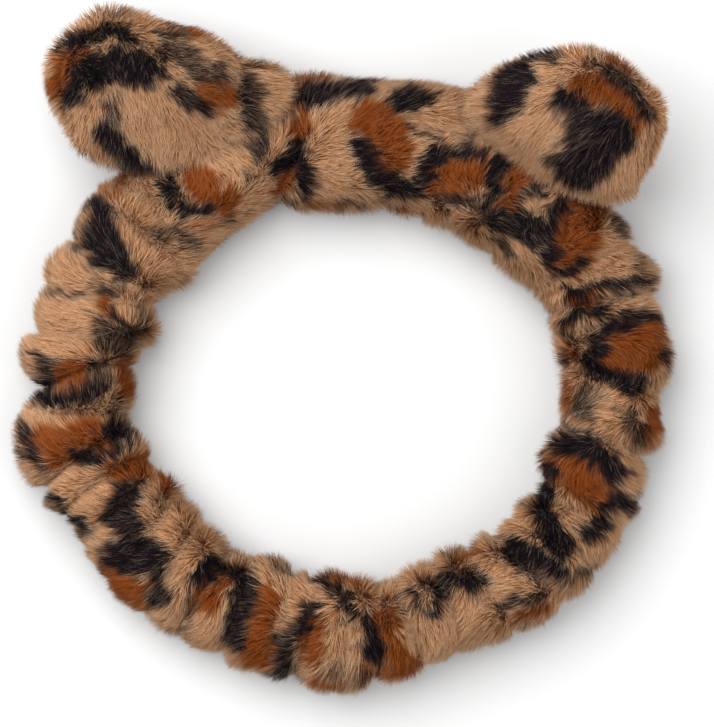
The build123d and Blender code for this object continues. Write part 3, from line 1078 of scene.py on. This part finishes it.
EARS = (
    Ear(
        "left", -31, 6, 30,
        ((-20, 3), (-28, 8.5), (-33, 17), (-30.5, 27), (-28.5, 34), (-24, 43), (-18, 48.5), (-9, 50),
         (-1, 49.5), (6, 44), (12.5, 35.5), (19.5, 27.5), (25.5, 20), (30, 13), (35.5, 7), (39, 1),
         (37, -6), (27, -10.5), (16, -9.5), (0, -7.5), (-12, -3)),
        (-3, 21),
    ),
    Ear(
        "right", 39, 36, 16,
        ((-33, 4), (-31.5, 14), (-29, 21.5), (-25, 29), (-15.5, 38.5), (-2, 46), (5, 46.5), (14.5, 45),
         (19, 40), (21.5, 33), (24, 23.5), (24.5, 11), (19, 5), (12, 0.5), (0, -3), (-15, -3.5),
         (-29, -3)),
        (-2, 21),
    ),
)


def rounded(points, count):
    """A closed smooth curve through points, at even steps."""
    fine = []
    size = len(points)
    for i in range(size):
        a, b, c, d = (points[(i + k - 1) % size] for k in range(4))
        bend, twist = 2 * a - 5 * b + 4 * c - d, 3 * b - a - 3 * c + d
        for t in np.arange(8) / 8:
            fine.append(0.5 * (2 * b + (c - a) * t + bend * t**2 + twist * t**3))
    fine = np.array(fine + [fine[0]])
    far = np.concatenate([[0], np.cumsum(np.linalg.norm(np.diff(fine, axis=0), axis=1))])
    wanted = np.linspace(0, far[-1], count, endpoint=False)
    return np.column_stack([np.interp(wanted, far, fine[:, k]) for k in range(2)])


def ear_skin(ear):
    """Both panels as one closed skin, and which faces are in front.

    Ring 0 is the seam that the panels share, and the last ring of each is its middle.
    """
    edge = rounded(ear.outline, EAR_EDGE)
    edge += unit(edge - ear.centre) * (0.6 + 1.2 * smooth(edge[:, 1:], 4, 20))
    # the back panel rolls over the far rim, so the seam lies a little inside it, on the front
    rolled = np.radians(ear.roll) * smooth(edge[:, 1], 8, 34)
    local, uv = [], []
    for sign in (1, -1):
        for step in range(sign < 0, EAR_RINGS):
            angle = rolled + sign * (np.pi / 2 - sign * rolled) * step / EAR_RINGS
            ring = ear.centre + (edge - ear.centre) * (np.cos(angle) ** 0.83)[:, None]
            front_soft = 0.6 + 0.4 * smooth(ring[:, 1], -8, 16)
            back_soft = 0.25 + 0.75 * smooth(ring[:, 1], -8, 22)
            thick = EAR_HALF_THICKNESS * np.where(angle > 0, front_soft, back_soft)
            local.append(np.column_stack([ring, thick * np.sin(angle)]))
            uv.append(ear.centre + (edge - ear.centre) * (1 - step / EAR_RINGS))
        local.append(np.array([[*ear.centre, sign * EAR_HALF_THICKNESS]]))
        uv.append(ear.centre[None])
    per_side = (EAR_RINGS - 1) * EAR_EDGE + 1
    faces, front = [], []
    for number, sign in enumerate((1, -1)):
        start = EAR_EDGE + number * per_side

        def corner(ring, k, start=start):
            k %= EAR_EDGE
            return k if ring == 0 else start + (ring - 1) * EAR_EDGE + k

        hub = start + per_side - 1
        panel = []
        for ring in range(EAR_RINGS - 1):
            for k in range(EAR_EDGE):
                near = (corner(ring, k), corner(ring, k + 1))
                panel.append((*near, corner(ring + 1, k + 1), corner(ring + 1, k)))
        for k in range(EAR_EDGE):
            panel.append((corner(EAR_RINGS - 1, k), corner(EAR_RINGS - 1, k + 1), hub))
        faces += [face[::-1] if sign > 0 else face for face in panel]
        front += [sign > 0] * len(panel)
    local, uv = np.concatenate(local), np.concatenate(uv)
    skin = Skin(ear.place(local), faces, (uv + 60) / 130)
    if skin.normals[EAR_EDGE + per_side - 1] @ ear.z < 0:
        skin = Skin(skin.points, [face[::-1] for face in faces], skin.uv)
    held = smooth(3 - local[:, 1], 0, 4)
    inflate(skin, held, 5.0, 4.5, ear.place(local * np.array([1.05, 1.05, 1.2])))
    # soft dents, and the groove of the seam
    skin.points += skin.normals * (waves(skin.points, 30, 51) * 1.5 * smooth(local[:, 1], 0, 12))[:, None]
    skin.points[:EAR_EDGE] -= skin.normals[:EAR_EDGE] * 1.2
    skin.update()
    return skin, np.array(front)


ear_skins = {ear.side: ear_skin(ear) for ear in EARS}


# ---------------------------------------------------------------- combing and colouring

BAND_DENSITY, UNDER_DENSITY = 8.5, 4.0
PANEL_DENSITY = {"front": 9.0, "back": 6.0}

pinch_tree = finder(band.points)


def valley(points):
    """How deep in a gather or fold points are, from 0 to 1."""
    near = np.array([pinch_tree.find(point)[1] for point in points])
    return np.clip(pinch[near] / 6, 0, 1)


def band_comb(root, normal):
    """The band's pile lies in soft swirls, stands out of creases, and is pressed down under the ears."""
    bearing = band_bearing(root[:, 0], root[:, 1])
    sine, cosine, flat = np.sin(np.radians(bearing)), np.cos(np.radians(bearing)), np.zeros(len(root))
    way = 0.6 + 1.0 * waves(root, 44, 31) + 0.3 * waves(root, 15, 34)
    swirl = np.column_stack([cosine, -sine, flat]) * np.cos(way)[:, None]
    swirl += np.column_stack([sine, cosine, flat]) * np.sin(way)[:, None]
    swirl *= 0.72 + 0.1 * waves(root, 24, 35)[:, None]
    lean = swirl - normal * (swirl * normal).sum(1, keepdims=True)
    # in a crease the strands stand out of it, so that it stays open
    deep = valley(root)
    middle = np.column_stack([band_point(bearing, 0), flat + 15])
    lean += (unit(root - middle) - normal) * (0.65 * deep)[:, None]
    under = smooth(-normal[:, 2], 0.2, 0.8)
    share = (1 - 0.4 * under) * (1 - 0.35 * deep)
    out = np.column_stack([unit(root[:, :2]), flat])
    for ear in EARS:
        local = ear.local(root)
        beside = 1 - smooth(np.abs(local[:, 0] + 1), 27, 36)
        near = smooth(local[:, 1], -18, -4) * beside * (local[:, 2] < 6)
        share = share * (1 - 0.3 * near)
        lean += (-0.75 * out - lean) * near[:, None]
    return lean, share


def band_density(normals):
    return BAND_DENSITY - (BAND_DENSITY - UNDER_DENSITY) * smooth(-normals[:, 2], 0.4, 0.95)


def ear_comb(ear, front):
    """An ear's pile is stroked down towards the band, and the back panel's lies over the rim."""
    seam = ear_skins[ear.side][0].points[:EAR_EDGE]

    def comb(root, normal):
        local = ear.local(root)
        swirl = wander(root, 30, 41, 42, 43) * 0.2
        swirl += wander(root, 11, 44, 45, 46) * 0.12
        away = np.column_stack([local[:, 0] * 0.012, np.full(len(root), -0.42), np.zeros(len(root))])
        lean = swirl + away @ np.stack([ear.x, ear.y, ear.z])
        gaps = np.linalg.norm(root[:, None] - seam[None], axis=2)
        rim = 1 - smooth(gaps.min(1), 0.5, 6)
        if front:
            lean += ear.z * (0.35 * rim)[:, None]
            over = rim
        else:
            lean += unit(root - seam[gaps.argmin(1)]) * (0.8 * rim)[:, None]
            over = 1 - smooth(np.abs(local[:, 2]), 2, 7)
        lean -= normal * (lean * normal).sum(1, keepdims=True)
        return lean, 1 - 0.3 * over * smooth(local[:, 1], 4, 20)

    return comb


band_marks = in_plan(BAND_MARKS, band_point)


def band_colour(root, tip, normal):
    return dyed(root, tip, normal, band_marks, (-0.25, 0.05), 61, 0.6)


def ear_colour(ear):
    marks = in_plan(EAR_MARKS[ear.side], ear.seen)
    seed = {"left": 71, "right": 81}[ear.side]
    return lambda root, tip, normal: dyed(root, tip, normal, marks, (-0.3, -0.05), seed)


def backing(name, node, skin, colour):
    """The knitted backing that stands for a fur node, dyed as the pile above it is."""
    obj = skin_object(name, skin, BACKING)
    rust, dark = colour(skin.points, skin.points + skin.normals * 5, skin.normals)
    dye = np.column_stack([rust, dark, np.zeros(len(rust)), np.full(len(rust), 0.3)])
    layer = obj.data.attributes.new("dye", "FLOAT_COLOR", "POINT")
    layer.data.foreach_set("color", dye.astype(np.float32).ravel())
    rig.slot(obj, "leopard_fur")
    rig.replaces(obj, node)
    return obj


def free_of_ears(points):
    """False for band strands that would run through an ear."""
    free = np.ones(len(points), bool)
    for ear in EARS:
        local = ear.local(points[:, 4])
        inside = (np.abs(local[:, 0] + 1) < 30) & (local[:, 1] > 0) & (local[:, 1] < 30)
        free &= ~(inside & (np.abs(local[:, 2]) < 4.5 + 0.45 * local[:, 1]))
    return free


def pile_pieces(node, points, dye, facing, keys, move):
    """Splits a node's strands by keys into pieces of at most STRAND_LIMIT. move(obj) sets each moving."""
    order = np.argsort(keys, kind="stable")
    pieces = int(np.ceil(len(order) / STRAND_LIMIT))
    for number, share in enumerate(np.array_split(order, pieces)):
        label = f"{node}_pile" + (f"_{number + 1}" if pieces > 1 else "")
        obj = fur_object(label, points[share], dye[share], facing[share])
        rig.slot(obj, "leopard_fur")
        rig.replaces(obj, node)
        move(obj)


# ---------------------------------------------------------------- band pieces

STRETCH_START, STRETCH_END = (0, 0.034, 0), (0, -0.095, 0)


def stretch(obj):
    """The sleeve's pieces give evenly between the padded front and the back of the loop."""
    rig.blend(obj, "front_band", "back_band", STRETCH_START, STRETCH_END)


def on_front_band(obj):
    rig.ride(obj, "front_band")


def in_front(bearing):
    return (bearing > LEFT_JOIN) & (bearing < RIGHT_JOIN)


front_faces = in_front(np.repeat(-180 + 360 * (np.arange(RINGS) + 0.5) / RINGS, AROUND))
front_skin = band.part(front_faces)
front_cover = backing("front_cover_backing", "front_cover", front_skin, band_colour)
on_front_band(front_cover)
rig.padded(front_cover, 0.7)

sleeve = backing("gathered_sleeve_backing", "gathered_sleeve", band.part(~front_faces), band_colour)
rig.padded(sleeve, 0.4)
stretch(sleeve)

strands, dyes, roots, facings = grow(band, band_density, band_comb, band_colour, 11)
free = free_of_ears(strands)
strands, dyes, roots, facings = strands[free], dyes[free], roots[free], facings[free]
where = band_bearing(roots[:, 0], roots[:, 1])
own = in_front(where)
pile_pieces("front_cover", strands[own], dyes[own], facings[own], where[own], on_front_band)
own = ~own
pile_pieces("gathered_sleeve", strands[own], dyes[own], facings[own], (where[own] + 360) % 360, stretch)


# ---------------------------------------------------------------- ear pieces

EAR_BEND = 9  # how far each side of its hinge an ear's cloth bends


def flop(ear):
    """Sets an ear's pieces bending along its base, where its cloth is sewn down to the band."""
    start, end = (ear.origin - ear.y * EAR_BEND) * MM, (ear.origin + ear.y * EAR_BEND) * MM
    return lambda obj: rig.blend(obj, "front_band", f"{ear.side}_ear", start, end)


for ear, seed in zip(EARS, (100, 200)):
    whole, front = ear_skins[ear.side]
    colour = ear_colour(ear)
    for panel, keep in (("front", front), ("back", ~front)):
        node = f"{ear.side}_ear_{panel}_panel"
        skin = whole.part(keep)
        cloth = backing(f"{node}_backing", node, skin, colour)
        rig.padded(cloth, 0.8)
        flop(ear)(cloth)
        strands, dyes, roots, facings = grow(
            skin,
            lambda normals, panel=panel: np.full(len(normals), PANEL_DENSITY[panel]),
            ear_comb(ear, panel == "front"),
            colour,
            seed + (panel == "back"),
        )
        pile_pieces(node, strands, dyes, facings, roots[:, 0], flop(ear))


# ---------------------------------------------------------------- seams, elastic and stuffing

STITCH_SIDES, STITCH_STEPS = 6, 5
SEAM_LIFT = 0.3  # how far a seam's thread stands off the backing


def stitches(name, node, starts, ends, rises, radius=0.42):
    """A row of stitches that stands for a node, each a short round arch of thread from a start to an end."""
    mesh = bmesh.new()
    for a, b, rise in zip(starts, ends, rises):
        rings = []
        for share in np.linspace(0, 1, STITCH_STEPS):
            middle = a + (b - a) * share + rise * np.sin(np.pi * share)
            way = unit((b - a) + rise * np.pi * np.cos(np.pi * share))
            side = unit(np.cross(way, rise))
            top = np.cross(side, way)
            thick = radius * (0.8 if share in (0, 1) else 1)
            turns = 2 * np.pi * np.arange(STITCH_SIDES) / STITCH_SIDES
            rings.append(
                [mesh.verts.new((middle + thick * (side * np.cos(t) + top * np.sin(t))) * MM) for t in turns]
            )
        for first, second in zip(rings[:-1], rings[1:]):
            for k in range(STITCH_SIDES):
                after = (k + 1) % STITCH_SIDES
                mesh.faces.new((first[k], first[after], second[after], second[k]))
        mesh.faces.new(rings[0][::-1])
        mesh.faces.new(rings[-1])
    data = bpy.data.meshes.new(name)
    mesh.to_mesh(data)
    mesh.free()
    data.shade_smooth()
    data.materials.append(THREAD)
    obj = link(bpy.data.objects.new(name, data))
    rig.slot(obj, "sewing_thread")
    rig.replaces(obj, node)
    return obj


def ring_number(bearing):
    return int(round((bearing + 180) / 360 * RINGS)) % RINGS


grid = band.points.reshape(RINGS, AROUND, 3)
grid_normals = band.normals.reshape(RINGS, AROUND, 3)
left_ring, right_ring = ring_number(LEFT_JOIN), ring_number(RIGHT_JOIN)
HEAD_SIDE = 3 * AROUND // 4

for side, ring in (("left", left_ring), ("right", right_ring)):
    before, after = (grid[ring + k] + grid_normals[ring + k] * SEAM_LIFT for k in (-1, 1))
    seam = stitches(f"{side}_join_overcast", f"{side}_join_seam", before, after, grid_normals[ring] * 0.9)
    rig.ride(seam, "front_band")


def running_seam(name, node, rings):
    """A row of running stitches along the head side of the band."""
    rings = np.array(rings) % RINGS
    out = grid_normals[rings, HEAD_SIDE]
    points = grid[rings, HEAD_SIDE] + out * SEAM_LIFT
    ends = points[:-1] + (points[1:] - points[:-1]) * 0.8
    return stitches(name, node, points[:-1], ends, out[:-1] * 0.5, radius=0.35)


front_rings = range(left_ring + 2, right_ring - 1)
sleeve_rings = range(right_ring + 2, left_ring + RINGS - 1)
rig.ride(running_seam("front_closing_stitches", "front_closing_seam", front_rings), "front_band")
stretch(running_seam("sleeve_closing_stitches", "sleeve_closing_seam", sleeve_rings))


def wadding(name, node, points, faces, fill):
    """Loose stuffing that stands for a node."""
    obj = skin_object(name, Skin(points, faces), WADDING)
    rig.slot(obj, "white_wadding")
    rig.replaces(obj, node)
    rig.padded(obj, fill)
    return obj


# wadding core of the front, a little inside its backing
core_rings = np.array(front_rings)
middles = np.column_stack([band_point(ring_bearings, 0), np.full(RINGS, 16.5)])[core_rings][:, None]
core = middles + (grid[core_rings] - middles) * 0.86
core += unit(core - middles) * (waves(core, 14, 91) * 0.7)[..., None]
count = len(core_rings)
last = (count - 1) * AROUND
faces = tube_faces(count, AROUND, closed=False)
faces += [(k, (k + 1) % AROUND, count * AROUND) for k in range(AROUND)]
faces += [(last + (k + 1) % AROUND, last + k, count * AROUND + 1) for k in range(AROUND)]
core = np.concatenate([core.reshape(-1, 3), [core[0].mean(0), core[-1].mean(0)]])
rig.ride(wadding("front_wadding", "front_padding", core, faces, 0.7), "front_band")

# woven elastic on edge inside the sleeve, rippled a little where the gathers grip it
ELASTIC_HALF = (0.75, 10)
ELASTIC_STEPS, ELASTIC_SIDES = 300, 16
path = np.linspace(RIGHT_JOIN + 1.6, LEFT_JOIN + 358.4, ELASTIC_STEPS)
edge = 2 * np.pi * np.arange(ELASTIC_SIDES) / ELASTIC_SIDES
thickness = np.sign(np.cos(edge)) * np.abs(np.cos(edge)) ** 0.3 * ELASTIC_HALF[0]
ripple = 0.7 * np.sin(np.radians(path) * 40)
plan = band_point(path[:, None], thickness[None] + ripple[:, None])
heights = np.broadcast_to(16 + np.sin(edge) * ELASTIC_HALF[1], plan.shape[:2])
faces = tube_faces(ELASTIC_STEPS, ELASTIC_SIDES, closed=False)
last = (ELASTIC_STEPS - 1) * ELASTIC_SIDES
faces += [tuple(range(ELASTIC_SIDES)), tuple(last + k for k in reversed(range(ELASTIC_SIDES)))]
points = np.concatenate([plan, heights[..., None]], -1).reshape(-1, 3)
elastic = new_object("woven_elastic_strip", points, faces, ELASTIC)
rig.slot(elastic, "woven_elastic")
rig.replaces(elastic, "elastic_strip")
stretch(elastic)

landing_tree = finder(front_skin.points)
for ear in EARS:
    name = f"{ear.side}_ear"
    whole = ear_skins[ear.side][0]
    rim, rim_out = whole.points[:EAR_EDGE], whole.normals[:EAR_EDGE]
    rim_out = unit(rim_out - (rim_out @ ear.z)[:, None] * ear.z)
    starts, ends = rim + ear.z * 0.7, np.roll(rim, -1, axis=0) - ear.z * 0.7
    flop(ear)(stitches(f"{name}_edge_overcast", f"{name}_edge_seam", starts, ends, rim_out * 0.5, radius=0.4))

    local = ear.local(whole.points)
    stuffing = ear.place((local - [*ear.centre, 0]) * [0.86, 0.86, 0.82] + [*ear.centre, 0])
    stuffing += whole.normals * (waves(stuffing, 12, 92) * 0.6)[:, None]
    flop(ear)(wadding(f"{name}_stuffing", f"{name}_filling", stuffing, whole.faces, 0.8))

    # the ear's base is caught down to the band by stitches from its edge to the band's backing
    base = ear.local(rim)
    caught = rim[np.nonzero((base[:, 1] < 0) & (np.abs(base[:, 0]) < 30))[0][::3]]
    landings = np.array([landing_tree.find(point)[0] for point in caught])
    rises = np.tile(ear.out * 0.8, (len(caught), 1))
    seam = stitches(f"{name}_base_ladder", f"{name}_base_stitches", caught, landings, rises, radius=0.5)
    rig.ride(seam, "front_band")

for node in frame["nodes"].values():
    node.data.materials.clear()
    node.data.materials.append(THREAD)


# ---------------------------------------------------------------- floor, light and camera


def floor():
    nodes = Nodes("studio_paper")
    nodes.plain(Base_Color=shade(224, 224, 224), Roughness=0.9)
    bpy.ops.mesh.primitive_plane_add(size=6, location=(0, 0, 0))
    plane = bpy.context.object
    plane.name = "studio_floor"
    plane.data.materials.append(nodes.material)
    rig.stage(plane)


def lamp(name, place, size, power):
    """A round soft lamp, placed in metres and aimed at the middle of the loop."""
    data = bpy.data.lights.new(name, "AREA")
    data.shape, data.size, data.energy = "DISK", size, power
    obj = link(bpy.data.objects.new(name, data))
    obj.location = place
    obj.rotation_euler = (-Vector(place)).to_track_quat("-Z", "Y").to_euler()


floor()
lamp("key", (-0.5, 0.46, 1.2), 1.4, 20.5)
lamp("fill", (0.9, -0.3, 1.1), 1.2, 4)
world = bpy.data.worlds.new("studio")
bpy.context.scene.world = world
world.use_nodes = True
sky = world.node_tree.nodes["Background"].inputs
sky["Color"].default_value = (1, 1, 1, 1)
sky["Strength"].default_value = 0.64

camera_data = bpy.data.cameras.new("camera")
camera_data.lens, camera_data.sensor_height, camera_data.sensor_fit = FOCAL, SENSOR, "VERTICAL"
camera_data.clip_start, camera_data.clip_end = 0.01, 20
camera = link(bpy.data.objects.new("camera", camera_data))
camera.location = Vector((*VIEW_MIDDLE, VIEW_PLANE + VIEW_DISTANCE)) * MM
bpy.context.scene.camera = camera
bpy.context.scene.view_settings.view_transform = "Standard"

with open("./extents.json", "w") as file:
    json.dump([[list(map(float, corner)) for corner in box] for box in (cad_box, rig.bounds())], file)
